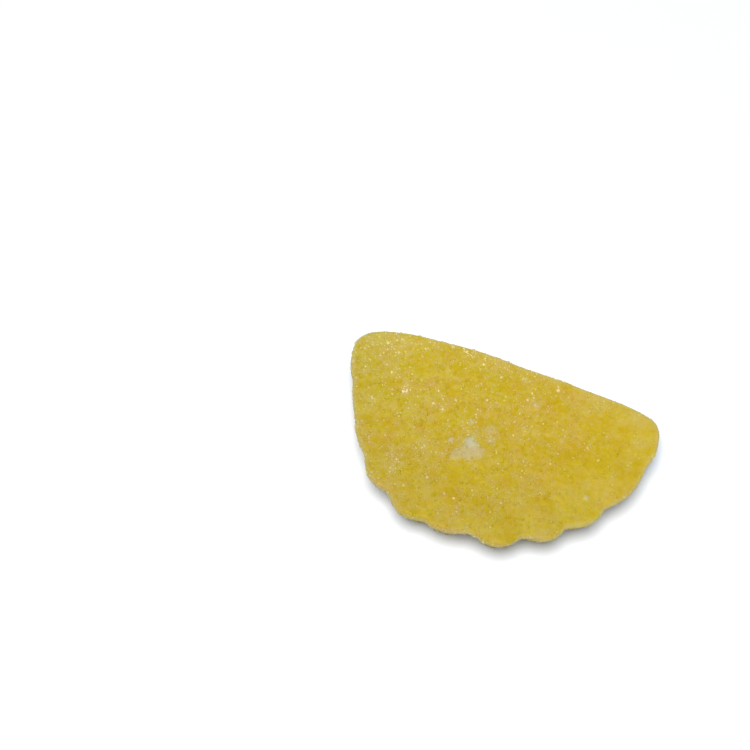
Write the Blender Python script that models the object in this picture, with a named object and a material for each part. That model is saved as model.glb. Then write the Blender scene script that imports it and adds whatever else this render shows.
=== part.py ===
"""Sugared jelly slice: a half-round fruit jelly with a scalloped edge, cast in a mould and rolled in sugar.

It lies on its moulded side, where ribs fan out from a hub near the straight side, so the flat face that was
open when the jelly was poured is up. +X runs along the straight side, +Y points out of it and +Z is up.
The origin is the middle of the slice's box, at the height of the surface it lies on.
"""
import math
import random

import bmesh
import bpy
from mathutils import Euler, Matrix, Vector, noise

NAME = "jelly_slice"
MM = 0.001

# Where the ribs meet, and how thick the slice is
HUB = Vector((-0.10 * MM, 5.83 * MM, 0.0))
THICKNESS = 10.2 * MM

# Outline of the poured face. A bearing of 0 degrees is the left end, 90 the middle of the scalloped edge,
# 180 the right end and 270 the middle of the straight side.
ROUND_RADIUS = 17.08 * MM
LEFT_REACH = 0.60 * MM
END_REACH = 1.15 * MM
SKEW = 0.60 * MM
QUARTER_SWELL = 0.85 * MM
QUARTER_SKEW = 0.45 * MM
STRAIGHT_SIDE = 5.15 * MM
STRAIGHT_BOW = 0.11 * MM
CORNER_SHARPNESS = 5.7
CORNER_UNEVENNESS = 2.95

# Scallops: the notches' bearings and how far each stands out, then each lobe between two of them by its height
# and by how far its top leans towards the next notch, where 1 is upright. Last, how high the plain ends stand,
# which rise from the outermost notches over END_TURN degrees.
NOTCHES = (12.0, 26.0, 41.5, 59.0, 77.6, 95.5, 118.5, 137.0, 154.0, 176.5)
NOTCH_HEIGHTS = [millimetres * MM for millimetres in (0.20, 0.0, 0.05, 0.0, 0.05, -0.18, 0.38, 0.25, -0.10, 0.0)]
LOBE_HEIGHTS = [millimetres * MM for millimetres in (0.03, 0.12, 0.60, 0.72, 0.38, 1.10, 0.78, 0.54, 0.32)]
LOBE_LEANS = (1.0, 1.0, 1.1, 1.05, 0.85, 1.25, 1.25, 1.1, 0.9)
END_HEIGHT = 0.45 * MM
END_TURN = 8.0
NOTCH_ROUNDING = 0.20
NOTCH_GROWTH = 0.40 * MM

# Section, from the poured face over the shoulder and down the drafted wall to the moulded face. There a groove
# runs under each notch, and a rib between two of them is level where its lobe's arch is within RIB_TOP of full.
SHOULDER_IN = 0.55 * MM
SHOULDER_DROP = 0.65 * MM
FOOT_IN = 2.2 * MM
FOOT_RISE = 2.4 * MM
DRAFT = math.tan(math.radians(13.0))
CROWN = 0.25 * MM
FACE_DIP = 0.05 * MM
FACE_DIP_START = 0.62
GROOVE_DEPTH = 0.95 * MM
GROOVE_START = 0.28
GROOVE_FULL = 0.80
RIB_TOP = 0.08

# Slow unevenness of the set jelly, which leaves the side that it lies on level
LUMP = 0.16 * MM
LUMP_SIZE = 5.5 * MM
LUMP_SHIFTS = (Vector((0.0, 0.0, 0.0)), Vector((31.4, 5.2, 7.7)), Vector((12.6, 22.1, 3.4)))
LUMP_CLEARANCE = 3.0 * MM

# Mesh density
LOBE_COLUMNS = 8
REAR_COLUMNS = 36
WALK_STEPS = 40
POURED_ROWS = 7
SHOULDER_ROWS = 4
WALL_ROWS = 3
FOOT_ROWS = 4
MOULDED_ROWS = 7
SHARP_ANGLE = math.radians(35.0)

# Sugar: the coarsest crystals, and one pressed clump of them on the poured face
CRYSTALS = 220
CRYSTAL_SIZES = (0.50 * MM, 0.80 * MM)
CRYSTAL_SIDES = (0.75, 1.0)
CRYSTAL_SPACING = 1.8 * MM
CRYSTAL_FLOOR = 1.2 * MM
CRYSTAL_LIFT = 0.12
CLUMP_PLACE = Vector((-1.25 * MM, -7.00 * MM, THICKNESS + 0.20 * MM))
CLUMP_SPREAD = 0.75 * MM
CLUMP_INNER = 0.25
CLUMP_CRYSTALS = 9
SEED = 7

JELLY_COLOUR = (0.59, 0.43, 0.055, 1.0)
JELLY_ROUGHNESS = 0.55


def clear_scene():
    for item in list(bpy.data.objects):
        bpy.data.objects.remove(item, do_unlink=True)


def smooth_step(value, low, high):
    """Rises from 0 at low to 1 at high with level ends."""
    share = min(max((value - low) / (high - low), 0.0), 1.0)
    return share * share * (3.0 - 2.0 * share)


def lobe_at(bearing):
    """How far the edge rises at a bearing in degrees, and how far up a lobe's arch that is, from 0 to 1."""
    turned = (bearing + 90.0) % 360.0 - 90.0
    if turned < NOTCHES[0] or turned >= NOTCHES[-1]:
        nearest = 0 if turned < NOTCHES[0] else -1
        share = 0.5 * min(abs(turned - NOTCHES[nearest]) / END_TURN, 1.0)
        ground = NOTCH_HEIGHTS[nearest]
        height = END_HEIGHT
    else:
        lobe = max(i for i, notch in enumerate(NOTCHES) if notch <= turned)
        share = (turned - NOTCHES[lobe]) / (NOTCHES[lobe + 1] - NOTCHES[lobe])
        ground = NOTCH_HEIGHTS[lobe] * (1.0 - share) + NOTCH_HEIGHTS[lobe + 1] * share
        height = LOBE_HEIGHTS[lobe]
        share **= LOBE_LEANS[lobe]
    sine = math.hypot(math.sin(math.pi * share), NOTCH_ROUNDING)
    arch = (sine - NOTCH_ROUNDING) / (math.hypot(1.0, NOTCH_ROUNDING) - NOTCH_ROUNDING)
    return ground + height * arch, arch


def edge_radius(bearing, inset=0.0, depth=0.0):
    """Distance from the hub to the slice's edge.

    inset moves the edge inwards. depth is 0 at the poured face and 1 at the moulded face, where the notches
    are deeper.
    """
    angle = math.radians(bearing)
    rise, arch = lobe_at(bearing)
    radius = ROUND_RADIUS - inset
    radius += LEFT_REACH * math.cos(angle)
    radius += END_REACH * math.cos(2.0 * angle)
    radius -= SKEW * math.sin(2.0 * angle)
    radius -= QUARTER_SWELL * math.cos(3.0 * angle)
    radius -= QUARTER_SKEW * math.sin(3.0 * angle)
    radius += rise - NOTCH_GROWTH * depth * (1.0 - arch)
    towards_side = -math.sin(angle)
    if towards_side < 1e-4:
        return radius
    side = (STRAIGHT_SIDE - STRAIGHT_BOW * math.cos(angle) ** 2 - inset) / towards_side
    sharpness = CORNER_SHARPNESS - CORNER_UNEVENNESS * math.cos(angle)
    return (radius ** -sharpness + side ** -sharpness) ** (-1.0 / sharpness)


def edge_point(bearing):
    angle = math.radians(bearing)
    return Vector((-math.cos(angle), -math.sin(angle), 0.0)) * edge_radius(bearing)


def even_bearings(start, end, count):
    """Bearings from start, end left out, whose points on the edge are evenly spaced along it."""
    samples = WALK_STEPS * count
    walk = [start + (end - start) * i / samples for i in range(samples + 1)]
    lengths = [0.0]
    for here, there in zip(walk, walk[1:]):
        lengths.append(lengths[-1] + (edge_point(there) - edge_point(here)).length)
    bearings = []
    for i in range(count):
        wanted = lengths[-1] * i / count
        bearings.append(next(b for b, length in zip(walk, lengths) if length >= wanted))
    return bearings


def column_bearings():
    """One bearing for each column of the mesh: every notch has its own column."""
    bearings = []
    for start, end in zip(NOTCHES, NOTCHES[1:]):
        bearings += [start + (end - start) * i / LOBE_COLUMNS for i in range(LOBE_COLUMNS)]
    return bearings + even_bearings(NOTCHES[-1], NOTCHES[0] + 360.0, REAR_COLUMNS)


def section_rows():
    """Rows of the mesh between its two poles, as (share of the way from the hub, inset, height)."""
    rows = []
    for i in range(1, POURED_ROWS + 1):
        rows.append((i / POURED_ROWS, SHOULDER_IN, THICKNESS))
    for i in range(1, SHOULDER_ROWS + 1):
        turn = 0.5 * math.pi * i / SHOULDER_ROWS
        drop = SHOULDER_DROP * (1.0 - math.cos(turn))
        rows.append((1.0, SHOULDER_IN * (1.0 - math.sin(turn)), THICKNESS - drop))
    wall_height = THICKNESS - SHOULDER_DROP - FOOT_RISE
    for i in range(1, WALL_ROWS + 1):
        drop = wall_height * i / WALL_ROWS
        rows.append((1.0, DRAFT * drop, THICKNESS - SHOULDER_DROP - drop))
    foot_inset = DRAFT * wall_height
    for i in range(1, FOOT_ROWS + 1):
        turn = 0.5 * math.pi * i / FOOT_ROWS
        rows.append((1.0, foot_inset + FOOT_IN * (1.0 - math.cos(turn)), FOOT_RISE * (1.0 - math.sin(turn))))
    for i in range(1, MOULDED_ROWS):
        rows.append((1.0 - i / MOULDED_ROWS, foot_inset + FOOT_IN, 0.0))
    return rows


def slice_point(bearing, share, inset, height):
    """A point of the surface, measured from the hub."""
    angle = math.radians(bearing)
    depth = 1.0 - height / THICKNESS
    arch = lobe_at(bearing)[1]
    radius = share * edge_radius(bearing, inset, depth)
    point = Vector((-math.cos(angle) * radius, -math.sin(angle) * radius, height))
    if height > 0.5 * THICKNESS:
        point.z += CROWN * (1.0 - share * share)
        point.z -= FACE_DIP * (1.0 - arch) * smooth_step(share, FACE_DIP_START, 1.0)
    else:
        level = 1.0 - smooth_step(height, 0.0, FOOT_RISE)
        groove = smooth_step(1.0 - arch, RIB_TOP, 1.0) * smooth_step(share, GROOVE_START, GROOVE_FULL)
        point.z += GROOVE_DEPTH * level * groove
    push = Vector([noise.noise(point / LUMP_SIZE + shift) for shift in LUMP_SHIFTS])
    return point + LUMP * smooth_step(height, 0.0, LUMP_CLEARANCE) * push


def put_in_order(bm, places):
    """Sorts vertices by place and triangles by their vertices, so that every run gives the same mesh."""
    bm.verts.sort(key=places.get)
    bm.verts.index_update()
    count = len(bm.verts)

    def triangle_key(face):
        first, second, third = sorted(vert.index for vert in face.verts)
        return (first * count + second) * count + third

    bm.faces.sort(key=triangle_key)


def make_body():
    """The bare slice: a sphere whose columns become bearings and whose rows become the section."""
    bearings = column_bearings()
    rows = section_rows()
    columns = len(bearings)
    places = {}
    bm = bmesh.new()
    bmesh.ops.create_uvsphere(bm, u_segments=columns, v_segments=len(rows) + 1, radius=1.0)
    for vert in bm.verts:
        row = round(math.acos(max(-1.0, min(1.0, vert.co.z))) / math.pi * (len(rows) + 1))
        column = round(math.atan2(vert.co.y, vert.co.x) / (2.0 * math.pi) * columns) % columns
        places[vert] = row * columns + column
        if row == 0:
            vert.co = slice_point(bearings[0], 0.0, SHOULDER_IN, THICKNESS)
        elif row == len(rows) + 1:
            vert.co = Vector((0.0, 0.0, 0.0))
        else:
            vert.co = slice_point(bearings[column], *rows[row - 1])
    bmesh.ops.translate(bm, verts=bm.verts, vec=HUB)
    bmesh.ops.triangulate(bm, faces=bm.faces)
    put_in_order(bm, places)
    mesh = bpy.data.meshes.new(NAME)
    bm.to_mesh(mesh)
    bm.free()
    return bpy.data.objects.new(NAME, mesh)


def random_spot(chance, mesh, areas):
    """A point on the mesh, every square millimetre as likely as any other, and the normal there."""
    triangle = chance.choices(mesh.loop_triangles, weights=areas)[0]
    first, second, third = [mesh.vertices[i].co for i in triangle.vertices]
    along, across = chance.random(), chance.random()
    if along + across > 1.0:
        along, across = 1.0 - along, 1.0 - across
    return first + along * (second - first) + across * (third - first), triangle.normal


def make_crystal(chance, name, place, size):
    """One sugar crystal, a block with unequal sides, turned at random."""
    sides = [size * chance.uniform(*CRYSTAL_SIDES) for _ in range(3)]
    turn = Euler([chance.uniform(0.0, math.pi) for _ in range(3)])
    bm = bmesh.new()
    bmesh.ops.create_cube(bm, size=1.0, matrix=Matrix.LocRotScale(place, turn, sides))
    mesh = bpy.data.meshes.new(name)
    bm.to_mesh(mesh)
    bm.free()
    return bpy.data.objects.new(name, mesh)


def scatter_crystals(body, crystals):
    """Coarse crystals all over the slice, clear of the surface that it lies on."""
    chance = random.Random(SEED)
    mesh = body.data
    mesh.calc_loop_triangles()
    areas = [triangle.area for triangle in mesh.loop_triangles]
    places = []
    while len(places) < CRYSTALS:
        spot, normal = random_spot(chance, mesh, areas)
        clear = all((spot - other).length > CRYSTAL_SPACING for other in places)
        if spot.z > CRYSTAL_FLOOR and clear:
            size = chance.uniform(*CRYSTAL_SIZES)
            place = spot + CRYSTAL_LIFT * size * normal
            crystals.objects.link(make_crystal(chance, f"crystal_{len(places)}", place, size))
            places.append(spot)


def pile_clump(crystals):
    """The pressed clump of crystals that stands out on the poured face."""
    chance = random.Random(SEED + 1)
    middle = HUB + CLUMP_PLACE
    for i in range(CLUMP_CRYSTALS):
        angle = 2.0 * math.pi * i / CLUMP_CRYSTALS
        away = CLUMP_SPREAD * (CLUMP_INNER if i % 3 == 0 else 1.0)
        place = middle + Vector((away * math.cos(angle), away * math.sin(angle), 0.0))
        crystals.objects.link(make_crystal(chance, f"clump_{i}", place, CRYSTAL_SIZES[1]))


def fuse(body, crystals):
    """Joins the crystals to the body with one Boolean union, and removes them."""
    union = body.modifiers.new("sugar", "BOOLEAN")
    union.operation = "UNION"
    union.operand_type = "COLLECTION"
    union.collection = crystals
    union.solver = "EXACT"
    depsgraph = bpy.context.evaluated_depsgraph_get()
    fused = bpy.data.meshes.new_from_object(body.evaluated_get(depsgraph))
    body.modifiers.remove(union)
    body.data = fused
    for crystal in list(crystals.objects):
        bpy.data.objects.remove(crystal, do_unlink=True)
    bpy.data.collections.remove(crystals)


def keep_outer_skin(mesh):
    """Fills hollows that the union sealed and drops loose scraps: only the largest connected skin is kept."""
    bm = bmesh.new()
    bm.from_mesh(mesh)
    waiting = set(bm.verts)
    skins = []
    while waiting:
        skin = []
        edge_of_skin = [waiting.pop()]
        while edge_of_skin:
            vert = edge_of_skin.pop()
            skin.append(vert)
            for edge in vert.link_edges:
                other = edge.other_vert(vert)
                if other in waiting:
                    waiting.remove(other)
                    edge_of_skin.append(other)
        skins.append(skin)
    skins.sort(key=len)
    for skin in skins[:-1]:
        bmesh.ops.delete(bm, geom=skin, context="VERTS")
    bm.to_mesh(mesh)
    bm.free()


def jelly_material():
    material = bpy.data.materials.new("sugared_jelly")
    material.use_nodes = True
    shader = material.node_tree.nodes["Principled BSDF"]
    shader.inputs["Base Color"].default_value = JELLY_COLOUR
    shader.inputs["Roughness"].default_value = JELLY_ROUGHNESS
    shader.inputs["Metallic"].default_value = 0.0
    return material


def main():
    clear_scene()
    candy = bpy.data.collections.new("gummy_candy")
    crystals = bpy.data.collections.new("sugar_crystals")
    bpy.context.scene.collection.children.link(candy)
    bpy.context.scene.collection.children.link(crystals)
    body = make_body()
    candy.objects.link(body)
    scatter_crystals(body, crystals)
    pile_clump(crystals)
    fuse(body, crystals)
    keep_outer_skin(body.data)
    body.data.name = NAME
    body.data.materials.clear()
    body.data.materials.append(jelly_material())
    body.data.shade_smooth()
    body.data.set_sharp_from_angle(angle=SHARP_ANGLE)


main()
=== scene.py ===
"""Looks of the sugared jelly slice: the jelly at full detail, the sugar on it, the light and the camera.

The slice lies with its poured face up. +X runs along the straight side, +Y points out of it and +Z is up.
"""

import math

import bpy
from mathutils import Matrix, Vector


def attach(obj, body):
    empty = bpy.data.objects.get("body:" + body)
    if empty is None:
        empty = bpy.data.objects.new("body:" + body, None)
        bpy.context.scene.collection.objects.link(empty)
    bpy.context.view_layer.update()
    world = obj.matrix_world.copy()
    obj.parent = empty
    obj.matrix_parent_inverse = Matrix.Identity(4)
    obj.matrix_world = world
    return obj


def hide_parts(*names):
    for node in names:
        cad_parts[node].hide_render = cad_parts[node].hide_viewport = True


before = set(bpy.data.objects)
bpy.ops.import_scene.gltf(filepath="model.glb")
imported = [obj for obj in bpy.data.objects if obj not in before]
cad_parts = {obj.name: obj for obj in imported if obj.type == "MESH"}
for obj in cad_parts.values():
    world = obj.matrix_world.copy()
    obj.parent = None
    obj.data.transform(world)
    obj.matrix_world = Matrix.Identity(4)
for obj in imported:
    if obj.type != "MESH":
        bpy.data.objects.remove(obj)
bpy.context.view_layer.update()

NODE = "jelly_slice"
BODY = "root"
MM = 0.001
TURN = 2.0 * math.pi

# Where the ribs meet, and how thick the slice is
HUB = Vector((-0.10 * MM, 5.83 * MM, 0.0))
THICKNESS = 10.2 * MM

# Outline of the poured face. A bearing of 0 degrees is the left end, 90 the middle of the scalloped edge,
# 180 the right end and 270 the middle of the straight side.
ROUND_RADIUS = 17.08 * MM
LEFT_REACH = 0.60 * MM
END_REACH = 1.15 * MM
SKEW = 0.60 * MM
QUARTER_SWELL = 0.85 * MM
QUARTER_SKEW = 0.45 * MM
STRAIGHT_SIDE = 5.15 * MM
STRAIGHT_BOW = 0.11 * MM
CORNER_SHARPNESS = 5.7
CORNER_UNEVENNESS = 2.95
# The least sine of a bearing that meets the straight side, which keeps its reach finite on the far half
NEARLY_LEVEL = 1e-4

# Scallops: the notches' bearings and how far each stands out, then each lobe between two of them by its
# height and by how far its top leans towards the next notch, where 1 is upright. Then how high the plain ends
# stand, which rise from the outermost notches over END_TURN degrees, and how much deeper the notches are at
# the moulded face. SUGAR_COAT is how far the coat of sugar swells the edge.
NOTCHES = (12.0, 26.0, 41.5, 59.0, 77.6, 95.5, 118.5, 137.0, 154.0, 176.5)
NOTCH_HEIGHTS = [height * MM for height in (0.20, 0.0, 0.05, 0.0, 0.05, -0.18, 0.38, 0.25, -0.10, 0.0)]
LOBE_HEIGHTS = [height * MM for height in (0.03, 0.12, 0.60, 0.72, 0.38, 1.10, 0.78, 0.54, 0.32)]
LOBE_LEANS = (1.0, 1.0, 1.1, 1.05, 0.85, 1.25, 1.25, 1.1, 0.9)
END_HEIGHT = 0.45 * MM
END_TURN = 8.0
NOTCH_ROUNDING = 0.20
NOTCH_GROWTH = 0.40 * MM
SUGAR_COAT = 0.12 * MM

# Section, from the poured face over the shoulder and down the drafted wall to the moulded face. There a
# groove runs under each notch, and a rib between two of them is level where its lobe's arch is within RIB_TOP
# of full.
SHOULDER_IN = 0.55 * MM
SHOULDER_DROP = 0.65 * MM
FOOT_IN = 2.2 * MM
FOOT_RISE = 2.4 * MM
DRAFT = math.tan(math.radians(13.0))
WALL_HEIGHT = THICKNESS - SHOULDER_DROP - FOOT_RISE
CROWN = 0.25 * MM
FACE_DIP = 0.05 * MM
FACE_DIP_START = 0.62
GROOVE_DEPTH = 0.95 * MM
GROOVE_START = 0.28
GROOVE_FULL = 0.80
RIB_TOP = 0.08

# Unevenness of the set jelly, slow and fine, which leaves the side that it lies on level
LUMP = 0.16 * MM
LUMP_SIZE = 5.5 * MM
LUMP_CLEARANCE = 3.0 * MM
DIMPLE = 0.07 * MM
DIMPLE_SIZE = 1.1 * MM

# Frosting: 0 where the sugar has melted into the jelly, 1 where it lies dry and white. It varies slowly and
# in small patches, and grows towards the left end, along the straight side and on the rim. Along the straight
# side its paleness is partly painted light on that shoulder. The rim starts RIM_INNER inside the poured
# face's edge, is full RIM_OUTER past it, on a shoulder SHOULDER_ARC long, and fades over the upper RIM_DOWN
# of the wall. Some places have more frost, given as x and y from the hub, radius and strength.
FROST_MEAN = 0.36
FROST_SLOW = 0.65
FROST_SLOW_SIZE = 4.5 * MM
FROST_PATCHY = 1.2
FROST_PATCHY_SIZE = 1.3 * MM
FROST_TO_LEFT = 0.10
FROST_REACH = 19.0 * MM
# Along the straight side: more frost, and painted light on its shoulder
FROST_AND_LIGHT_ALONG_SIDE = 0.4
FROST_SIDE_WIDTH = 3.0 * MM
FROST_ON_RIM = 0.8
RIM_INNER = 0.05 * MM
RIM_OUTER = 0.55 * MM
SHOULDER_ARC = 0.9 * MM
RIM_DOWN = 0.18
FROST_PLACES = (
    (-9.5, -11.0, 2.4, 0.8), (-7.2, -8.6, 1.4, 0.5), (-2.0, -6.4, 2.2, 0.5), (0.1, -4.1, 1.6, 0.5),
    (4.0, 1.8, 1.2, 0.4), (1.7, 3.4, 1.0, 0.4), (4.2, 3.5, 1.0, 0.4), (-14.0, -5.6, 2.4, 0.2),
    (10.8, 4.4, 1.4, 0.5), (15.9, 4.2, 1.6, 0.5), (16.9, 1.3, 1.3, 0.5), (18.2, -0.2, 1.0, 0.3),
    (-15.0, 3.0, 4.0, 0.7), (13.1, -7.3, 1.0, 0.3), (-7.8, -14.7, 1.6, 0.2), (-11.1, -2.5, 0.8, 0.6),
    (-16.5, -2.2, 0.6, 0.8), (-15.3, -2.5, 0.5, 0.7), (-14.4, -0.3, 0.6, 0.7), (-12.9, -0.9, 0.9, 0.5),
    (-11.3, -1.7, 0.8, 0.6), (-12.1, 1.9, 0.6, 0.7), (-14.4, -5.1, 0.8, 0.7), (-11.9, -4.8, 0.7, 0.7),
    (-7.2, -4.4, 0.5, 0.8), (-6.7, -2.1, 0.4, 0.7),
)

# The yellow is lemon in some patches and golden in others, also in some places that are given as x and y
# from the hub, radius and strength, which is below 0 for lemon. Painted shade makes it a little deeper
# towards the scalloped edge and painted light makes it lighter towards the straight side. It is duller at the
# left end, and paler on the rim, partly from frost and partly from painted light that lifts the rim's shade.
GOLDEN_UNEVEN = 1.55
GOLDEN_SIZE = 2.6 * MM
GOLDEN_PLACES = (
    (-8.67, -0.85, 1.2, 0.8), (-7.96, -6.16, 0.9, 0.9), (-10.8, -8.9, 1.1, 0.8), (4.05, -4.84, 0.7, 1.5),
    (7.45, -7.42, 1.0, 0.8), (3.93, -9.01, 1.0, 0.6), (2.74, 0.92, 0.7, 0.8), (4.98, 2.04, 0.8, 0.8),
    (-15.0, 0.0, 9.0, -0.2), (6.0, -2.0, 9.0, 0.2), (13.0, -9.0, 5.0, -0.3),
)
PLAIN_CAST = (1.0, 1.0, 1.0, 1.0)
LEMON_CAST = (1.005, 1.060, 1.0, 1.0)
GOLDEN_CAST = (0.995, 0.915, 1.0, 1.0)
# Painted shade, deepest towards the scalloped edge, and painted light, lightest towards the straight side
PAINTED_SHADE_FULL_AT = HUB.y - 15.0 * MM
PAINTED_LIGHT_FULL_AT = HUB.y + 5.0 * MM
CAST_OF_PAINTED_SHADE = (0.905, 0.92, 0.98, 1.0)
CAST_OF_PAINTED_LIGHT = (1.080, 1.095, 1.0, 1.0)
# Paler rim: whiter from frost, and lighter from painted light that lifts the shade there
RIM_FROST_AND_LIT_CAST = (1.07, 1.14, 1.6, 1.0)
LEFT_END = HUB.x - 18.0 * MM
LEFT_END_FROM = HUB.x - 12.0 * MM
LEFT_END_CAST = (0.94, 0.965, 1.0, 1.0)

# How crisp the sugar is: its clots, its glints and the tilt of its grains. It is crispest round one place
# near the straight side, and smoother, as if half melted, away from it and on the rim. Below CRISP_FULL its
# grains are fewer on the poured face.
CRISPEST_AT = HUB + Vector((-4.8, -0.8, THICKNESS / MM)) * MM
CRISP_MOST = 1.15
CRISP_FALL = 0.034 / MM
CRISP_LEAST = 0.25
CRISP_FULL = 0.75
CRISP_OFF_ON_RIM = 0.7

# Sugar and frost lie in clots that leave the jelly's own colour between them
CLOT_SIZE = 0.7 * MM
CLOTS_ON_JELLY = 0.74
CLOTS_ON_SUGAR = 0.57

# What else makes the jelly's coat and the sugar paler: the frost there, pressed sugar and a fine grain
FROST_ON_JELLY = 0.6
GRAIN_ON_JELLY = 0.3
GRAIN_SIZE = 0.35 * MM
FROST_ON_SUGAR = 0.4
PRESSED_ON_SUGAR = 0.3

# Shapes of crystal, about 1 across, as stubs of (sides, radius at the top, radius at the bottom, height)
CRYSTALS = ((4, 0.44, 0.72, 0.6), (4, 0.28, 0.70, 0.6), (5, 0.32, 0.62, 0.6))
CHIPS = ((3, 0.0, 0.62, 0.42),)
MOST_TILT = math.radians(29.0)

# Kinds of sugar: the field that each lies thickest on, its shapes and its measures. Shade spread is how far
# each grain's colour is randomly made lighter or darker as painted light and shade.
SUGAR_KINDS = {
    "coarse_sugar": ("frost", CRYSTALS, {
        "Smallest": 0.42 * MM, "Largest": 0.66 * MM, "Spacing": 1.75 * MM, "Bare share": 1.0, "Lift": -0.10,
        "Whiteness": 0.0, "Variety": 0.25, "Unevenness": 0.6, "Shade spread": 0.03, "Seed": 11}),
    "middle_sugar": ("frost", CRYSTALS, {
        "Smallest": 0.30 * MM, "Largest": 0.56 * MM, "Spacing": 0.41 * MM, "Bare share": 0.35, "Lift": -0.12,
        "Whiteness": 0.0, "Variety": 0.16, "Unevenness": 1.05, "Shade spread": 0.04, "Seed": 23}),
    "fine_sugar": ("frost", CRYSTALS, {
        "Smallest": 0.14 * MM, "Largest": 0.28 * MM, "Spacing": 0.19 * MM, "Bare share": 0.2, "Lift": -0.10,
        "Whiteness": 0.0, "Variety": 0.22, "Unevenness": 1.05, "Shade spread": 0.06, "Seed": 37}),
    "sugar_dust": ("frost", CHIPS, {
        "Smallest": 0.06 * MM, "Largest": 0.13 * MM, "Spacing": 0.13 * MM, "Bare share": 0.2, "Lift": 0.0,
        "Whiteness": 0.0, "Variety": 0.15, "Unevenness": 0.4, "Shade spread": 0.10, "Seed": 53}),
    "clump_sugar": ("pressed", CRYSTALS, {
        "Smallest": 0.07 * MM, "Largest": 0.16 * MM, "Spacing": 0.12 * MM, "Bare share": 0.0, "Lift": -0.1,
        "Whiteness": 0.05, "Variety": 0.1, "Unevenness": 0.0, "Shade spread": 0.05, "Seed": 71}),
}

# Single white grains on the poured face, the brightest of them a painted glint, as x and y from the hub,
# radius and how much whiter they are
WHITE_AND_GLINT_PLACES = ((-11.09, -2.49, 0.60, 1.2), (-3.95, -6.33, 0.40, 0.7), (-2.45, -3.41, 0.45, 0.5))

# White sugar pressed onto the poured face: a clump and some flecks, given as x and y from the hub, radius
# and whiteness. Their edges are ragged.
PRESSED_SUGAR = (
    (-3.08, -8.01, 0.55, 0.33), (-2.56, -7.55, 0.95, 0.38), (-1.88, -7.03, 1.20, 0.38),
    (-1.15, -6.75, 1.20, 0.40), (-0.47, -6.63, 0.95, 0.36), (-1.47, -7.46, 0.90, 0.38),
    (-1.12, -6.03, 0.75, 0.55), (-1.72, -5.93, 0.95, 0.9), (-1.73, -5.55, 0.60, 1.0),
    (-3.95, -6.33, 0.38, 0.7), (-2.45, -3.41, 0.50, 0.6), (-0.10, -3.50, 0.80, 0.28),
    (0.36, -4.84, 0.70, 0.25), (-1.60, -4.40, 0.60, 0.3), (13.10, -7.25, 0.40, 0.5),
    (4.0, 1.0, 0.6, 0.35), (8.2, -1.9, 0.5, 0.3),
)
PRESSED_RAGGED = 0.45 * MM
PRESSED_RAGGED_SIZE = 0.6 * MM
PRESSED_RELIEF = 0.15 * MM

# Mesh of the jelly
OUTLINE_POINTS = 1440
COLUMNS = 460
POURED_ROWS = 72
SHOULDER_ROWS = 12
WALL_ROWS = 28
FOOT_ROWS = 20
MOULDED_ROWS = 56

# Colours, linear. A grain's tint runs from clear over pale, at PALE_AT, to white.
JELLY_COLOUR = (0.507, 0.349, 0.006, 1.0)
FROSTED_COLOUR = (0.568, 0.420, 0.122, 1.0)
PRESSED_COLOUR = (0.515, 0.478, 0.350, 1.0)
CLEAR_SUGAR = (0.535, 0.376, 0.009, 1.0)
PALE_SUGAR = (0.630, 0.464, 0.130, 1.0)
# The whitest grains: white sugar, bright enough to be partly a painted glint
WHITEST_SUGAR_AND_GLINT = (0.840, 0.710, 0.350, 1.0)
PALE_AT = 0.55
SHEEN = (1.0, 0.82, 0.35, 1.0)
SUGAR_SHINE = 0.26

# Studio: pale paper on the table, a faint blue sky and one round soft light
PAPER_COLOUR = (0.905, 0.920, 0.950, 1.0)
SKY_COLOUR = (0.56, 0.74, 1.0, 1.0)
SKY_STRENGTH = 0.28
KEY_AZIMUTH = math.radians(-7.0)
KEY_ELEVATION = math.radians(81.7)
KEY_DISTANCE = 0.6
KEY_SIZE = 0.16
KEY_POWER = 3.67

# Camera of the photograph
CAMERA_AZIMUTH = math.radians(20.82)
CAMERA_ELEVATION = math.radians(73.0)
CAMERA_DISTANCE = 257.5 * MM
CAMERA_AIM = HUB + Vector((-16.29, 0.88, 0.0)) * MM
LENS = 100.0
SENSOR_WIDTH = 36.0


class Value:
    """What a socket puts out. Sums written with it add Math nodes to its tree."""

    def __init__(self, tree, socket):
        self.tree = tree
        self.socket = socket

    def math(self, operation, *others, **settings):
        node = add(self.tree, "ShaderNodeMath", operation=operation, **settings)
        for slot, value in zip(node.inputs, (self, *others)):
            feed(self.tree, slot, value)
        return Value(self.tree, node.outputs[0])

    def __add__(self, other):
        return self.math("ADD", other)

    def __sub__(self, other):
        return self.math("SUBTRACT", other)

    def __rsub__(self, other):
        return (self * -1.0) + other

    def __mul__(self, other):
        return self.math("MULTIPLY", other)

    def __truediv__(self, other):
        return self.math("DIVIDE", other)

    def __rtruediv__(self, other):
        return self ** -1.0 * other

    def __pow__(self, other):
        return self.math("POWER", other)

    __radd__ = __add__
    __rmul__ = __mul__

    def share(self, low, high):
        """0 at low and 1 at high, level beyond."""
        return ((self - low) / (high - low)).math("ADD", 0.0, use_clamp=True)

    def smooth_step(self, low, high):
        share = self.share(low, high)
        return share * share * (3.0 - 2.0 * share)


def feed(tree, slot, value):
    """Links a value to a socket, or sets the socket to a plain number."""
    if isinstance(value, Value):
        tree.links.new(value.socket, slot)
    elif isinstance(value, bpy.types.NodeSocket):
        tree.links.new(value, slot)
    else:
        slot.default_value = value


def add(tree, kind, inputs=None, **settings):
    """A new node, with its settings and then its inputs, which are named or counted."""
    node = tree.nodes.new(kind)
    for name, value in settings.items():
        setattr(node, name, value)
    for key, value in (inputs or {}).items():
        if isinstance(key, str):
            slot = next(s for s in node.inputs if s.name == key and s.enabled)
        else:
            slot = node.inputs[key]
        feed(tree, slot, value)
    return node


def out(node, key=0):
    """One output of a node as a Value."""
    if isinstance(key, str):
        return Value(node.id_data, next(s for s in node.outputs if s.name == key and s.enabled))
    return Value(node.id_data, node.outputs[key])


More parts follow.
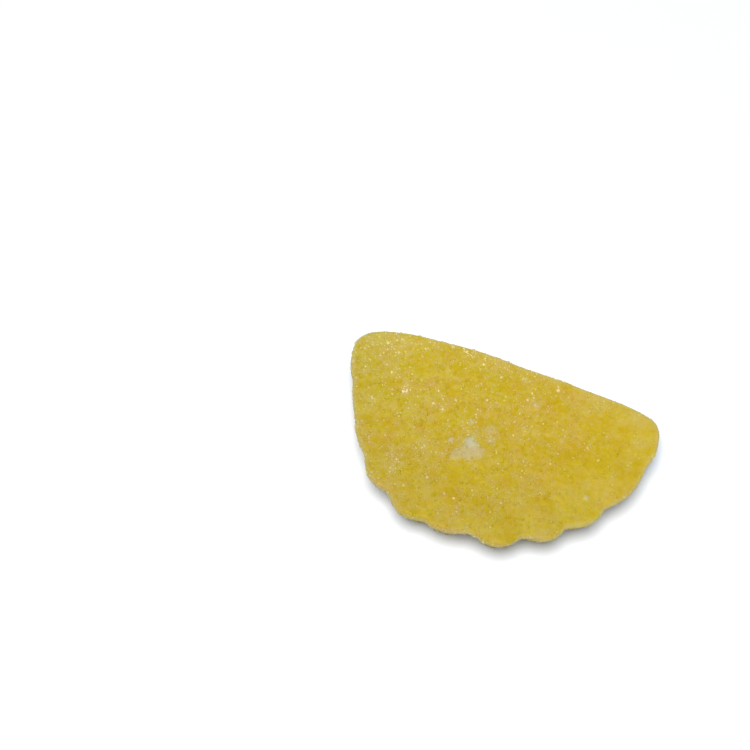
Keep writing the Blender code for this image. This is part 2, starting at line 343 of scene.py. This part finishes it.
def new_tree(name, kind, inputs, outputs):
    """A node group with named sockets: inputs as (name, type, default), outputs as (name, type)."""
    tree = bpy.data.node_groups.new(name, kind)
    for label, socket_type, default in inputs:
        socket = tree.interface.new_socket(name=label, in_out="INPUT", socket_type=socket_type)
        if default is not None:
            socket.default_value = default
    for label, socket_type in outputs:
        tree.interface.new_socket(name=label, in_out="OUTPUT", socket_type=socket_type)
    entry = tree.nodes.new("NodeGroupInput")
    given = {socket.name: Value(tree, socket) for socket in entry.outputs if socket.name}
    return tree, given, tree.nodes.new("NodeGroupOutput")


def grow(name, tree, values):
    """Runs a Geometry Nodes tree on a new object and keeps the result as a plain mesh."""
    piece = bpy.data.objects.new(name, bpy.data.meshes.new(name))
    bpy.context.scene.collection.objects.link(piece)
    modifier = piece.modifiers.new("grow", "NODES")
    modifier.node_group = tree
    entries = [item for item in tree.interface.items_tree if item.in_out == "INPUT"]
    identifiers = {entry.name: entry.identifier for entry in entries}
    for label, value in values.items():
        modifier[identifiers[label]] = value
    depsgraph = bpy.context.evaluated_depsgraph_get()
    evaluated = piece.evaluated_get(depsgraph)
    mesh = bpy.data.meshes.new_from_object(evaluated, preserve_all_data_layers=True, depsgraph=depsgraph)
    piece.modifiers.remove(modifier)
    piece.data = mesh
    mesh.name = name
    for index in reversed(range(len(mesh.materials))):
        if mesh.materials[index] is None:
            mesh.materials.pop(index=index)
    return piece


def lobe_nodes(bearing):
    """The scallops at a bearing in degrees: how far the edge rises, and how far up its arch a lobe is."""
    turned = (bearing + 90.0).math("FLOORED_MODULO", 360.0) - 90.0
    shares = [turned.share(start, end) for start, end in zip(NOTCHES, NOTCHES[1:])]
    ends = [away.share(0.0, END_TURN) * 0.5 for away in (NOTCHES[0] - turned, turned - NOTCHES[-1])]
    leaning = [share.math("POWER", lean) for share, lean in zip(shares, LOBE_LEANS)]
    heights = [*LOBE_HEIGHTS, END_HEIGHT, END_HEIGHT]
    lobe_scale = 1.0 / (math.hypot(1.0, NOTCH_ROUNDING) - NOTCH_ROUNDING)
    rise = NOTCH_HEIGHTS[0]
    for share, low, high in zip(shares, NOTCH_HEIGHTS, NOTCH_HEIGHTS[1:]):
        rise = share * (high - low) + rise
    arch = 0.0
    for share, height in zip(leaning + ends, heights):
        sine = (share * math.pi).math("SINE").math("MAXIMUM", 0.0)
        bulge = ((sine * sine + NOTCH_ROUNDING ** 2).math("SQRT") - NOTCH_ROUNDING) * lobe_scale
        rise = bulge * height + rise
        arch = bulge + arch
    return rise, arch


def edge_group():
    """How far the slice's edge is from the hub at a bearing in degrees.

    Inset moves the edge inwards. Depth is 0 at the poured face and 1 at the moulded face, where the notches
    are deeper.
    """
    tree, given, result = new_tree(
        "slice edge", "GeometryNodeTree",
        [("Bearing", "NodeSocketFloat", 0.0), ("Inset", "NodeSocketFloat", 0.0),
         ("Depth", "NodeSocketFloat", 0.0)],
        [("Radius", "NodeSocketFloat"), ("Arch", "NodeSocketFloat")])
    rise, arch = lobe_nodes(given["Bearing"])
    angle = given["Bearing"] * math.radians(1.0)
    cosine = angle.math("COSINE")
    radius = ROUND_RADIUS - given["Inset"]
    radius = radius + cosine * LEFT_REACH
    radius = radius + (angle * 2.0).math("COSINE") * END_REACH
    radius = radius - (angle * 2.0).math("SINE") * SKEW
    radius = radius - (angle * 3.0).math("COSINE") * QUARTER_SWELL
    radius = radius - (angle * 3.0).math("SINE") * QUARTER_SKEW
    radius = radius + rise - given["Depth"] * (1.0 - arch) * NOTCH_GROWTH
    towards_side = (angle.math("SINE") * -1.0).math("MAXIMUM", NEARLY_LEVEL)
    side = (STRAIGHT_SIDE - cosine * cosine * STRAIGHT_BOW - given["Inset"]) / towards_side
    sharpness = CORNER_SHARPNESS - cosine * CORNER_UNEVENNESS
    both = radius ** (sharpness * -1.0) + side ** (sharpness * -1.0)
    feed(tree, result.inputs["Radius"], both ** (-1.0 / sharpness))
    feed(tree, result.inputs["Arch"], arch)
    return tree


def place(tree, bearing, radius, height):
    """The point at a bearing in degrees, a radius from the hub and a height."""
    angle = bearing * math.radians(1.0)
    node = add(tree, "ShaderNodeCombineXYZ", {
        "X": angle.math("COSINE") * radius * -1.0, "Y": angle.math("SINE") * radius * -1.0, "Z": height})
    return out(node)


def bearing_of(tree, vector):
    """The bearing in degrees of a point measured from the hub."""
    parts = add(tree, "ShaderNodeSeparateXYZ", {0: vector})
    return (out(parts, "Y") * -1.0).math("ARCTAN2", out(parts, "X") * -1.0) * math.degrees(1.0)


def even_outline(tree, edge, factor):
    """Bearings evenly spaced along the slice's edge, as a factor runs from 0 to 1."""
    circle = add(tree, "GeometryNodeCurvePrimitiveCircle", {"Resolution": OUTLINE_POINTS, "Radius": 1.0})
    bearing = out(add(tree, "GeometryNodeInputIndex")) * (360.0 / OUTLINE_POINTS)
    radius = add(tree, "GeometryNodeGroup", node_tree=edge)
    feed(tree, radius.inputs["Bearing"], bearing)
    moved = add(tree, "GeometryNodeSetPosition", {
        "Geometry": out(circle), "Position": place(tree, bearing, out(radius, "Radius"), 0.0)})
    sample = add(tree, "GeometryNodeSampleCurve", mode="FACTOR")
    feed(tree, sample.inputs["Curves"], out(moved))
    feed(tree, sample.inputs["Factor"], factor)
    return bearing_of(tree, out(sample, "Position"))


def noise_nodes(tree, vector, size, detail=0.0, roughness=0.5):
    """Noise round 0 with grains of a size in metres."""
    node = add(tree, "ShaderNodeTexNoise", {
        "Vector": vector, "Scale": 1.0 / size, "Detail": detail, "Roughness": roughness})
    return (out(node, 0) - 0.5) * 2.0


def places_nodes(tree, here, places, hub):
    """What soft round places on the poured face add up to at a point.

    Each place is x and y from the hub, a radius and a strength.
    """
    total = 0.0
    for x, y, radius, strength in places:
        middle = hub + Vector((x, y, 0.0)) * MM + Vector((0.0, 0.0, THICKNESS))
        away = out(add(tree, "ShaderNodeVectorMath", {0: here, 1: middle}, operation="DISTANCE"), "Value")
        total = (1.0 - away.smooth_step(0.3 * radius * MM, radius * MM)) * strength + total
    return total


def frost_nodes(tree, here, rim):
    """How frosted the jelly is at a point measured from the hub."""
    parts = add(tree, "ShaderNodeSeparateXYZ", {0: here})
    across, along = out(parts, "X"), out(parts, "Y")
    frost = noise_nodes(tree, here, FROST_SLOW_SIZE, 1.0) * FROST_SLOW + FROST_MEAN
    frost = frost + noise_nodes(tree, here, FROST_PATCHY_SIZE, 3.0, 0.75) * FROST_PATCHY
    frost = frost - across * (FROST_TO_LEFT / FROST_REACH)
    side_from = STRAIGHT_SIDE - SHOULDER_IN - FROST_SIDE_WIDTH
    # a paler band along the straight side, partly frost and partly painted light
    frost = frost + along.smooth_step(side_from, STRAIGHT_SIDE) * FROST_AND_LIGHT_ALONG_SIDE
    frost = frost + rim * FROST_ON_RIM
    frost = frost + places_nodes(tree, here, FROST_PLACES, Vector((0.0, 0.0, 0.0)))
    return frost.math("ADD", 0.0, use_clamp=True)


def crisp_nodes(tree, spot):
    """How crisp the sugar is at a point of the finished slice, about 1 where it is crispest."""
    away = add(tree, "ShaderNodeVectorMath", {0: spot, 1: CRISPEST_AT}, operation="DISTANCE")
    return (CRISP_MOST - out(away, "Value") * CRISP_FALL).math("MAXIMUM", CRISP_LEAST)


def clot_nodes(tree, spot):
    """How much more sugar, or less where below 0, a point of the finished slice has than what is round it."""
    return noise_nodes(tree, spot, CLOT_SIZE, 4.0, 0.7) * crisp_nodes(tree, spot)


def pressed_nodes(tree, here):
    """How thick pressed sugar lies at a point measured from the hub, from 0 to 1."""
    ragged = noise_nodes(tree, here, PRESSED_RAGGED_SIZE, 2.0, 0.6) * PRESSED_RAGGED
    thick = 0.0
    for x, y, radius, strength in PRESSED_SUGAR:
        middle = (x * MM, y * MM, THICKNESS)
        away = add(tree, "ShaderNodeVectorMath", {0: here, 1: middle}, operation="DISTANCE")
        near = 1.0 - (out(away, "Value") + ragged).smooth_step(0.35 * radius * MM, 1.1 * radius * MM)
        thick = (near * strength).math("MAXIMUM", thick)
    return thick


def jelly_tree(material):
    """The jelly: a sphere whose columns become bearings and whose rows become the section."""
    number = "NodeSocketFloat"
    tree, given, result = new_tree(
        "jelly form", "GeometryNodeTree",
        [("Thickness", number, THICKNESS), ("Groove depth", number, GROOVE_DEPTH), ("Lump", number, LUMP),
         ("Lump size", number, LUMP_SIZE), ("Dimple", number, DIMPLE), ("Dimple size", number, DIMPLE_SIZE)],
        [("Geometry", "NodeSocketGeometry")])
    rows = POURED_ROWS + SHOULDER_ROWS + WALL_ROWS + FOOT_ROWS + MOULDED_ROWS
    sphere = add(tree, "GeometryNodeMeshUVSphere", {"Segments": COLUMNS, "Rings": rows, "Radius": 1.0})
    spot = add(tree, "ShaderNodeSeparateXYZ", {0: out(add(tree, "GeometryNodeInputPosition"))})
    column = out(spot, "Y").math("ARCTAN2", out(spot, "X")) / TURN
    row = out(spot, "Z").math("MINIMUM", 1.0).math("MAXIMUM", -1.0).math("ARCCOSINE") * (rows / math.pi)
    edge = edge_group()
    bearing = even_outline(tree, edge, column.math("FLOORED_MODULO", 1.0))

    ends = [0]
    for count in (POURED_ROWS, SHOULDER_ROWS, WALL_ROWS, FOOT_ROWS, MOULDED_ROWS):
        ends.append(ends[-1] + count)
    poured, shoulder, wall, foot, moulded = [row.share(low, high) for low, high in zip(ends, ends[1:])]
    share = poured - moulded
    quarter = 0.5 * math.pi
    inset = (1.0 - (shoulder * quarter).math("SINE")) * SHOULDER_IN - SUGAR_COAT
    inset = inset + wall * (DRAFT * WALL_HEIGHT) + (1.0 - (foot * quarter).math("COSINE")) * FOOT_IN
    height = given["Thickness"] - (1.0 - (shoulder * quarter).math("COSINE")) * SHOULDER_DROP
    height = height - wall * WALL_HEIGHT - (foot * quarter).math("SINE") * FOOT_RISE

    reach = add(tree, "GeometryNodeGroup", node_tree=edge)
    feed(tree, reach.inputs["Bearing"], bearing)
    feed(tree, reach.inputs["Inset"], inset)
    feed(tree, reach.inputs["Depth"], 1.0 - height / given["Thickness"])
    notch = 1.0 - out(reach, "Arch")
    upper = height.math("GREATER_THAN", 0.5 * THICKNESS)
    crown = (1.0 - share * share) * CROWN - notch * share.smooth_step(FACE_DIP_START, 1.0) * FACE_DIP
    level = 1.0 - height.smooth_step(0.0, FOOT_RISE)
    groove = notch.smooth_step(RIB_TOP, 1.0) * share.smooth_step(GROOVE_START, GROOVE_FULL)
    groove = groove * level * given["Groove depth"]
    bent = height + upper * crown + groove
    formed = add(tree, "GeometryNodeSetPosition", {
        "Geometry": out(sphere), "Position": place(tree, bearing, share * out(reach, "Radius"), bent)})

    clear = height.smooth_step(0.0, LUMP_CLEARANCE)
    kept = add(tree, "GeometryNodeCaptureAttribute", {"Geometry": out(sphere)})
    kept.capture_items.new("FLOAT", "Clear")
    kept.capture_items.new("FLOAT", "Rim")
    feed(tree, kept.inputs["Clear"], clear)
    past_face = shoulder * SHOULDER_ARC - (1.0 - poured) * out(reach, "Radius")
    rim = past_face.smooth_step(-RIM_INNER, RIM_OUTER) * (1.0 - wall.smooth_step(0.0, RIM_DOWN))
    feed(tree, kept.inputs["Rim"], rim)
    feed(tree, formed.inputs["Geometry"], out(kept))
    here = out(add(tree, "GeometryNodeInputPosition"))
    slow = add(tree, "ShaderNodeTexNoise", {"Vector": here, "Scale": 1.0 / given["Lump size"], "Detail": 0.0})
    push = add(tree, "ShaderNodeVectorMath", {0: out(slow, "Color"), 1: (0.5, 0.5, 0.5)},
               operation="SUBTRACT")
    pushed = add(tree, "ShaderNodeVectorMath", {
        0: out(push), "Scale": out(kept, "Clear") * given["Lump"] * 2.0}, operation="SCALE")
    lumpy = add(tree, "GeometryNodeSetPosition", {"Geometry": out(formed), "Offset": out(pushed)})

    fine = add(tree, "ShaderNodeTexNoise", {"Vector": here, "Scale": 1.0 / given["Dimple size"],
                                            "Detail": 1.5, "Roughness": 0.55})
    depth = (out(fine, 0) - 0.5) * out(kept, "Clear") * given["Dimple"] * 2.0
    depth = depth + pressed_nodes(tree, here) * PRESSED_RELIEF
    along = add(tree, "ShaderNodeVectorMath", {0: out(add(tree, "GeometryNodeInputNormal")), "Scale": depth},
                operation="SCALE")
    dimpled = add(tree, "GeometryNodeSetPosition", {"Geometry": out(lumpy), "Offset": out(along)})
    marked = out(dimpled)
    rim = out(kept, "Rim")
    fields = {"frost": frost_nodes(tree, here, rim), "pressed": pressed_nodes(tree, here), "rim": rim}
    for name, amount in fields.items():
        marked = out(add(tree, "GeometryNodeStoreNamedAttribute", {
            "Geometry": marked, "Name": name, "Value": amount}, data_type="FLOAT", domain="POINT"))
    at_hub = add(tree, "GeometryNodeTransform", {"Geometry": marked, "Translation": HUB})
    smooth = add(tree, "GeometryNodeSetShadeSmooth", {"Geometry": out(at_hub)})
    realized = add(tree, "GeometryNodeRealizeInstances", {0: out(smooth)})
    coated = add(tree, "GeometryNodeSetMaterial", {"Geometry": out(realized), "Material": material})
    feed(tree, result.inputs["Geometry"], out(coated))
    return tree


def crystal_shapes(tree, outlines):
    """Shapes of sugar crystal, from stubs of (sides, radius at the top, radius at the bottom, height)."""
    shapes = add(tree, "GeometryNodeJoinGeometry")
    for sides, top, bottom, tall in outlines:
        stub = add(tree, "GeometryNodeMeshCone", {
            "Vertices": sides, "Radius Top": top, "Radius Bottom": bottom, "Depth": tall})
        centred = add(tree, "GeometryNodeTransform", {
            "Geometry": out(stub), "Translation": (0.0, 0.0, -0.5 * tall)})
        marked = add(tree, "GeometryNodeStoreNamedAttribute", {
            "Geometry": out(centred), "Name": "spot", "Value": out(add(tree, "GeometryNodeInputPosition"))},
            data_type="FLOAT_VECTOR", domain="POINT")
        single = add(tree, "GeometryNodeGeometryToInstance", {0: out(marked)})
        tree.links.new(single.outputs[0], shapes.inputs[0])
    return out(shapes)


def random_nodes(tree, low, high, seed, kind="FLOAT"):
    node = add(tree, "FunctionNodeRandomValue", {"Min": low, "Max": high, "Seed": seed}, data_type=kind)
    return out(node, "Value")


def sugar_tree(name, outlines, field, material):
    """Crystals scattered over the jelly, thicker where a field that it carries is strong."""
    number = "NodeSocketFloat"
    tree, given, result = new_tree(
        name, "GeometryNodeTree",
        [("Ground", "NodeSocketObject", None), ("Smallest", number, 0.0), ("Largest", number, 0.0),
         ("Spacing", number, 0.0), ("Bare share", number, 0.0), ("Lift", number, 0.1),
         ("Whiteness", number, 0.0), ("Variety", number, 0.5), ("Unevenness", number, 0.0),
         ("Shade spread", number, 0.0), ("Seed", "NodeSocketInt", 0)],
        [("Geometry", "NodeSocketGeometry")])
    source = add(tree, "GeometryNodeObjectInfo", {"Object": given["Ground"]})
    frost, pressed, rim, thick = [
        out(add(tree, "GeometryNodeInputNamedAttribute", {"Name": label}, data_type="FLOAT"), "Attribute")
        for label in ("frost", "pressed", "rim", field)]
    height = out(add(tree, "ShaderNodeSeparateXYZ", {0: out(add(tree, "GeometryNodeInputPosition"))}), "Z")
    clear = height.math("GREATER_THAN", given["Largest"] * 0.7)
    if field == "frost":
        clear = clear * (1.0 - pressed.smooth_step(0.1, 0.6))
    here = out(add(tree, "GeometryNodeInputPosition"))
    clot = clot_nodes(tree, here)
    crisp = crisp_nodes(tree, here)
    off_face = 1.0 - height.smooth_step(0.75 * THICKNESS, 0.95 * THICKNESS)
    covered = crisp.share(0.0, CRISP_FULL).math("MAXIMUM", off_face)
    amount = (given["Bare share"] + (1.0 - given["Bare share"]) * thick) * clear * covered
    crisp = crisp * (1.0 - rim * CRISP_OFF_ON_RIM)
    scatter = add(tree, "GeometryNodeDistributePointsOnFaces", {
        "Mesh": out(source, "Geometry"), "Distance Min": given["Spacing"],
        "Density Max": 0.9 / (given["Spacing"] * given["Spacing"]), "Density Factor": amount,
        "Seed": given["Seed"]}, distribute_method="POISSON")
    chance = random_nodes(tree, 0.0, 1.0, given["Seed"] + 1.0)
    size = given["Smallest"] + (given["Largest"] - given["Smallest"]) * chance * chance
    lift = add(tree, "ShaderNodeVectorMath", {0: out(scatter, "Normal"), "Scale": size * given["Lift"]},
               operation="SCALE")
    points = add(tree, "GeometryNodeSetPosition", {"Geometry": out(scatter, "Points"), "Offset": out(lift)})
    sides = random_nodes(tree, (0.72, 0.72, 0.72), (1.1, 1.1, 1.1), given["Seed"] + 2.0, "FLOAT_VECTOR")
    scale = add(tree, "ShaderNodeVectorMath", {0: sides, "Scale": size}, operation="SCALE")
    lean = random_nodes(tree, (-MOST_TILT, -MOST_TILT, 0.0), (MOST_TILT, MOST_TILT, TURN),
                        given["Seed"] + 3.0, "FLOAT_VECTOR")
    steady = out(add(tree, "ShaderNodeCombineXYZ", {"X": crisp, "Y": crisp, "Z": 1.0}))
    leaning = out(add(tree, "ShaderNodeVectorMath", {0: lean, 1: steady}, operation="MULTIPLY"))
    turned = add(tree, "FunctionNodeRotateRotation", {
        "Rotation": out(scatter, "Rotation"),
        "Rotate By": out(add(tree, "FunctionNodeEulerToRotation", {0: leaning}))}, rotation_space="LOCAL")
    grains = add(tree, "GeometryNodeInstanceOnPoints", {
        "Points": out(points), "Instance": crystal_shapes(tree, outlines), "Pick Instance": True,
        "Instance Index": random_nodes(tree, 0, len(outlines) - 1, given["Seed"] + 4.0, "INT"),
        "Rotation": out(turned), "Scale": out(scale)})
    luck = random_nodes(tree, 0.0, 1.0, given["Seed"] + 5.0)
    uneven = luck ** 3.0 * given["Variety"] * crisp
    uneven = uneven + random_nodes(tree, -0.5, 0.5, given["Seed"] + 7.0) * given["Unevenness"]
    tint = uneven * crisp + frost * FROST_ON_SUGAR + clot * CLOTS_ON_SUGAR + pressed * PRESSED_ON_SUGAR
    # whiter grains at given places, the brightest a painted glint
    tint = tint + given["Whiteness"] + places_nodes(tree, here, WHITE_AND_GLINT_PLACES, HUB)
    tinted = add(tree, "GeometryNodeStoreNamedAttribute", {
        "Geometry": out(grains), "Name": "tint", "Value": tint.math("ADD", 0.0, use_clamp=True)},
        data_type="FLOAT", domain="INSTANCE")
    # painted light and shade: each grain made randomly lighter or darker, for how much light its facets catch
    shade = random_nodes(tree, -1.0, 1.0, given["Seed"] + 6.0) * given["Shade spread"] * crisp + 1.0
    shaded = add(tree, "GeometryNodeStoreNamedAttribute", {
        "Geometry": out(tinted), "Name": "shade", "Value": shade}, data_type="FLOAT", domain="INSTANCE")
    counted = add(tree, "GeometryNodeStoreNamedAttribute", {
        "Geometry": out(shaded), "Name": "grain", "Value": out(add(tree, "GeometryNodeInputIndex"))},
        data_type="INT", domain="INSTANCE")
    realized = add(tree, "GeometryNodeRealizeInstances", {0: out(counted)})
    mapped = map_grains(tree, out(realized), out(grains))
    coated = add(tree, "GeometryNodeSetMaterial", {"Geometry": mapped, "Material": material})
    feed(tree, result.inputs["Geometry"], out(coated))
    return tree


def map_grains(tree, geometry, grains):
    """A UV map with a square cell for each grain, so that a texture can hold every grain's own colour."""
    number = add(tree, "GeometryNodeAttributeDomainSize", {0: grains}, component="INSTANCES")
    side = out(number, "Instance Count").math("SQRT").math("CEIL")
    grain = add(tree, "GeometryNodeInputNamedAttribute", {"Name": "grain"}, data_type="INT")
    grain = out(grain, "Attribute")
    spot = add(tree, "GeometryNodeInputNamedAttribute", {"Name": "spot"}, data_type="FLOAT_VECTOR")
    spot = add(tree, "ShaderNodeSeparateXYZ", {0: out(spot, "Attribute")})
    x, y, z = [out(spot, axis) for axis in "XYZ"]
    across = (grain.math("FLOORED_MODULO", side) + 0.5 + x * 0.5 + z * 0.2) / side
    up = ((grain / side).math("FLOOR") + 0.5 + y * 0.5 + z * 0.2) / side
    place_on_map = add(tree, "ShaderNodeCombineXYZ", {"X": across, "Y": up})
    mapped = add(tree, "GeometryNodeStoreNamedAttribute", {
        "Geometry": geometry, "Name": "OFBake", "Value": out(place_on_map)},
        data_type="FLOAT2", domain="CORNER")
    cleaned = out(mapped)
    for name in ("spot", "grain"):
        cleaned = out(add(tree, "GeometryNodeRemoveAttribute", {"Geometry": cleaned, "Name": name}))
    return cleaned


def mix_nodes(tree, share, low, high, way="MIX"):
    """A colour between two others, or the first blended with the second in another way."""
    node = add(tree, "ShaderNodeMix", {"Factor": share}, data_type="RGBA", blend_type=way)
    feed(tree, next(s for s in node.inputs if s.name == "A" and s.enabled), low)
    feed(tree, next(s for s in node.inputs if s.name == "B" and s.enabled), high)
    return out(node, "Result")


def cast_group():
    """Turns a colour lemon or golden by the place that it is at, and duller at the left end. It paints shade
    deeper towards the scalloped edge and light towards the straight side, and makes the rim paler, partly as
    frost and partly as painted light.
    """
    tree, given, result = new_tree(
        "lemon, golden and painted light", "ShaderNodeTree",
        [("Colour", "NodeSocketColor", None)], [("Colour", "NodeSocketColor")])
    here = out(add(tree, "ShaderNodeTexCoord"), "Object")
    golden = noise_nodes(tree, here, GOLDEN_SIZE, 4.0, 0.85) * GOLDEN_UNEVEN + 0.5
    golden = golden + places_nodes(tree, here, GOLDEN_PLACES, HUB)
    parts = add(tree, "ShaderNodeSeparateXYZ", {0: here})
    across, along = out(parts, "X"), out(parts, "Y")
    colour = given["Colour"]
    rim = out(add(tree, "ShaderNodeAttribute", attribute_name="rim"), "Fac")
    for cast in (mix_nodes(tree, golden.math("ADD", 0.0, use_clamp=True), LEMON_CAST, GOLDEN_CAST),
                 # painted shade towards the scalloped edge, painted light towards the straight side
                 mix_nodes(tree, along.share(PAINTED_SHADE_FULL_AT, PAINTED_LIGHT_FULL_AT), CAST_OF_PAINTED_SHADE, CAST_OF_PAINTED_LIGHT),
                 mix_nodes(tree, across.share(LEFT_END_FROM, LEFT_END), PLAIN_CAST, LEFT_END_CAST),
                 # the rim paler: whiter from frost and lighter from painted light
                 mix_nodes(tree, rim, PLAIN_CAST, RIM_FROST_AND_LIT_CAST)):
        colour = mix_nodes(tree, 1.0, colour, cast, "MULTIPLY")
    feed(tree, result.inputs["Colour"], colour)
    return tree


def cast_nodes(tree, cast, colour):
    """A colour as it looks where the jelly is lemon or golden, with the painted light and shade of that
    place.
    """
    node = add(tree, "ShaderNodeGroup", node_tree=cast)
    feed(tree, node.inputs["Colour"], colour)
    return out(node, "Colour")


def jelly_material(cast):
    """Translucent lemon jelly, paler and duller where sugar frosts it."""
    material = bpy.data.materials.new("lemon_jelly")
    material.use_nodes = True
    tree = material.node_tree
    shader = tree.nodes["Principled BSDF"]
    here = out(add(tree, "ShaderNodeTexCoord"), "Object")
    frost = out(add(tree, "ShaderNodeAttribute", attribute_name="frost"), "Fac")
    grain = noise_nodes(tree, here, GRAIN_SIZE, 2.0, 0.6)
    pressed = out(add(tree, "ShaderNodeAttribute", attribute_name="pressed"), "Fac")
    share = frost * FROST_ON_JELLY + clot_nodes(tree, here) * CLOTS_ON_JELLY + grain * GRAIN_ON_JELLY
    share = share.math("ADD", 0.0, use_clamp=True)
    coated = mix_nodes(tree, share, JELLY_COLOUR, FROSTED_COLOUR)
    whitened = mix_nodes(tree, pressed, coated, PRESSED_COLOUR)
    feed(tree, shader.inputs["Base Color"], cast_nodes(tree, cast, whitened))
    feed(tree, shader.inputs["Roughness"], 0.38 + share * 0.3)
    shader.inputs["Specular IOR Level"].default_value = 0.2
    shader.inputs["Specular Tint"].default_value = SHEEN
    shader.inputs["Subsurface Weight"].default_value = 0.5
    shader.inputs["Subsurface Radius"].default_value = (1.0, 0.75, 0.12)
    shader.inputs["Subsurface Scale"].default_value = 1.2 * MM
    bump = add(tree, "ShaderNodeBump", {"Height": grain, "Strength": 0.25, "Distance": 0.03 * MM})
    feed(tree, shader.inputs["Normal"], out(bump))
    return material


def sugar_material(cast):
    """Sugar crystals, from clear ones that take the jelly's yellow to milky ones."""
    material = bpy.data.materials.new("sugar_crystal")
    material.use_nodes = True
    tree = material.node_tree
    shader = tree.nodes["Principled BSDF"]
    tint = out(add(tree, "ShaderNodeAttribute", attribute_name="tint"), "Fac")
    pale = mix_nodes(tree, tint.share(0.0, PALE_AT), CLEAR_SUGAR, PALE_SUGAR)
    # towards white, whose brightest is partly a painted glint
    milky = mix_nodes(tree, tint.share(PALE_AT, 1.0), pale, WHITEST_SUGAR_AND_GLINT)
    pressed = out(add(tree, "ShaderNodeAttribute", attribute_name="pressed"), "Fac")
    powdery = mix_nodes(tree, pressed, milky, PRESSED_COLOUR)
    # painted light and shade of each grain
    shade = out(add(tree, "ShaderNodeAttribute", attribute_name="shade"), "Fac")
    shaded = mix_nodes(tree, 1.0, powdery, shade, "MULTIPLY")
    feed(tree, shader.inputs["Base Color"], cast_nodes(tree, cast, shaded))
    shader.inputs["Roughness"].default_value = 0.32
    here = out(add(tree, "ShaderNodeTexCoord"), "Object")
    feed(tree, shader.inputs["Specular IOR Level"], crisp_nodes(tree, here) * SUGAR_SHINE)
    shader.inputs["Specular Tint"].default_value = SHEEN
    return material


def make_floor():
    mesh = bpy.data.meshes.new("floor")
    half = 1.5
    corners = [(-half, -half, 0), (half, -half, 0), (half, half, 0), (-half, half, 0)]
    mesh.from_pydata(corners, [], [(0, 1, 2, 3)])
    floor = bpy.data.objects.new("floor", mesh)
    bpy.context.scene.collection.objects.link(floor)
    material = bpy.data.materials.new("pale_paper")
    material.use_nodes = True
    shader = material.node_tree.nodes["Principled BSDF"]
    shader.inputs["Base Color"].default_value = PAPER_COLOUR
    shader.inputs["Roughness"].default_value = 0.9
    mesh.materials.append(material)


def aim(thing, position, target):
    thing.location = position
    thing.rotation_mode = "QUATERNION"
    thing.rotation_quaternion = (target - position).to_track_quat("-Z", "Y")


def direction(azimuth, elevation):
    """The way out to a place at an azimuth, where 0 is -Y and a quarter turn is +X, and an elevation."""
    level = math.cos(elevation)
    return Vector((math.sin(azimuth) * level, -math.cos(azimuth) * level, math.sin(elevation)))


def make_light():
    lamp = bpy.data.lights.new("key", "AREA")
    lamp.shape = "DISK"
    lamp.size = KEY_SIZE
    lamp.energy = KEY_POWER
    light = bpy.data.objects.new("key", lamp)
    bpy.context.scene.collection.objects.link(light)
    aim(light, direction(KEY_AZIMUTH, KEY_ELEVATION) * KEY_DISTANCE, Vector((0.0, 0.0, 0.0)))


def make_camera():
    data = bpy.data.cameras.new("camera")
    data.lens = LENS
    data.sensor_width = SENSOR_WIDTH
    data.clip_start = 0.01
    data.clip_end = 10.0
    camera = bpy.data.objects.new("camera", data)
    bpy.context.scene.collection.objects.link(camera)
    back = direction(CAMERA_AZIMUTH, CAMERA_ELEVATION)
    aim(camera, CAMERA_AIM + back * CAMERA_DISTANCE, CAMERA_AIM)
    bpy.context.scene.camera = camera


def make_world():
    world = bpy.data.worlds.new("studio")
    bpy.context.scene.world = world
    world.use_nodes = True
    background = world.node_tree.nodes["Background"]
    background.inputs["Color"].default_value = SKY_COLOUR
    background.inputs["Strength"].default_value = SKY_STRENGTH
    view = bpy.context.scene.view_settings
    view.view_transform = "Standard"
    view.look = "None"


make_camera()
make_world()
make_floor()
make_light()
cast = cast_group()
jelly = grow("jelly", jelly_tree(jelly_material(cast)), {})
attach(jelly, BODY)
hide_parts(NODE)
crystal = sugar_material(cast)
for name, (field, outlines, measures) in SUGAR_KINDS.items():
    grains = grow(name, sugar_tree(name, outlines, field, crystal), {"Ground": jelly, **measures})
    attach(grains, BODY)
